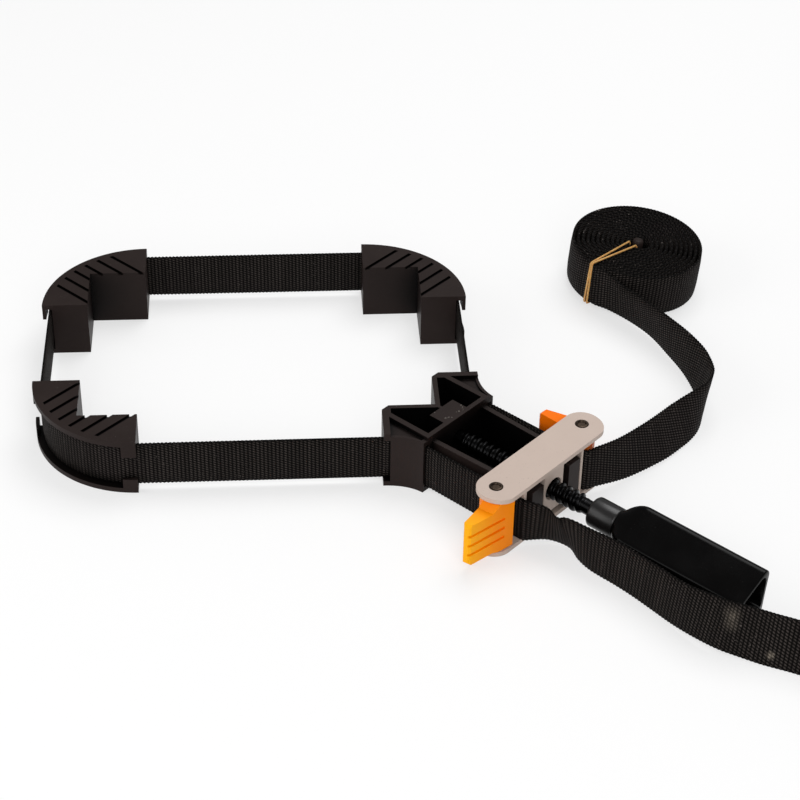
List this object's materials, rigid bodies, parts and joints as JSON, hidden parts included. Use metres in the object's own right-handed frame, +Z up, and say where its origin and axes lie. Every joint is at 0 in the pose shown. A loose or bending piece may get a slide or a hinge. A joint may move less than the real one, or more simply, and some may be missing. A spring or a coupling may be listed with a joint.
{
  "type": "band clamp",
  "caption": "Corner band clamp: webbing loop with loose corner jaws, a fixed V jaw with a screw-driven carriage, cam levers that grip the band, and a coiled free tail.",
  "frame": {"origin": "middle of the clamp's footprint, without the free tails, on the surface it stands on", "axes": "+X along the long side of the loop towards the fixed jaw, +Y along its short side away from the fixed jaw, +Z up"},
  "size_m": [0.4094, 0.3942, 0.0364],
  "materials": {
    "moulding": "satin charcoal moulding",
    "webbing": "ribbed black nylon webbing",
    "painted_metal": "warm light grey paint",
    "lever_plastic": "orange satin moulding",
    "pin_steel": "dark turned steel",
    "black_steel": "blackened steel",
    "grip_plastic": "smooth black moulding",
    "tie_rubber": "tan rubber band"
  },
  "bodies": {
    "frame": {"fixed_jaw": "moulding", "thrust_pad": "pin_steel", "band_front_run": "webbing", "band_right_run": "webbing", "band_front_pass": "webbing", "band_rear_pass": "webbing", "band_front_side": "webbing", "band_rear_side": "webbing", "front_tail": "webbing", "rear_tail": "webbing", "tail_coil": "webbing", "coil_tie": "tie_rubber"},
    "spindle": {"spindle_screw": "black_steel", "handle_collar": "grip_plastic", "handle_grip": "grip_plastic"},
    "carriage": {"carriage_top_plate": "painted_metal", "carriage_bottom_plate": "painted_metal", "carriage_web": "painted_metal", "spindle_nut": "black_steel", "front_pivot_pin": "pin_steel", "rear_pivot_pin": "pin_steel"},
    "front_lever": {"front_cam_lever": "lever_plastic"},
    "rear_lever": {"rear_cam_lever": "lever_plastic"},
    "front_left": {"front_left_jaw": "moulding", "band_front_left_wrap": "webbing", "band_left_run": "webbing"},
    "rear_left": {"rear_left_jaw": "moulding", "band_rear_left_wrap": "webbing"},
    "rear_right": {"rear_right_jaw": "moulding", "band_rear_right_wrap": "webbing", "band_rear_run": "webbing"}
  },
  "joints": [
    {"name": "spindle_turn", "type": "hinge", "parent": "frame", "child": "spindle", "pos_m": [0.02927, -0.00223, 0.02], "axis": [-0.7071, 0.7071, 0], "range_deg": [-3061, 0]},
    {"name": "carriage_slide", "type": "slide", "parent": "frame", "child": "carriage", "axis": [0.7071, -0.7071, 0], "range_m": [-0.034, 0]},
    {"name": "front_lever_swing", "type": "hinge", "parent": "carriage", "child": "front_lever", "pos_m": [0.0531, -0.07316, 0.018], "axis": [0, 0, 1], "range_deg": [-97, 8]},
    {"name": "rear_lever_swing", "type": "hinge", "parent": "carriage", "child": "rear_lever", "pos_m": [0.1002, -0.02606, 0.018], "axis": [0, 0, 1], "range_deg": [-105, 0]},
    {"name": "loop_width", "type": "slide", "parent": "frame", "child": "front_left", "axis": [1, 0, 0], "range_m": [0, 0.09], "deforming": ["band_front_run", "band_rear_run"]},
    {"name": "loop_depth", "type": "slide", "parent": "frame", "child": "rear_right", "axis": [0, -1, 0], "range_m": [0, 0.045], "deforming": ["band_right_run", "band_left_run"]},
    {"name": "rear_left_depth", "type": "slide", "parent": "front_left", "child": "rear_left", "axis": [0, -1, 0], "range_m": [0, 0.045], "deforming": ["band_left_run"]}
  ],
  "couplings": [
    {"joint": "spindle_turn", "follows": "carriage_slide", "rad_per_m": 1570.8},
    {"joint": "rear_left_depth", "follows": "loop_depth", "ratio": 1}
  ]
}
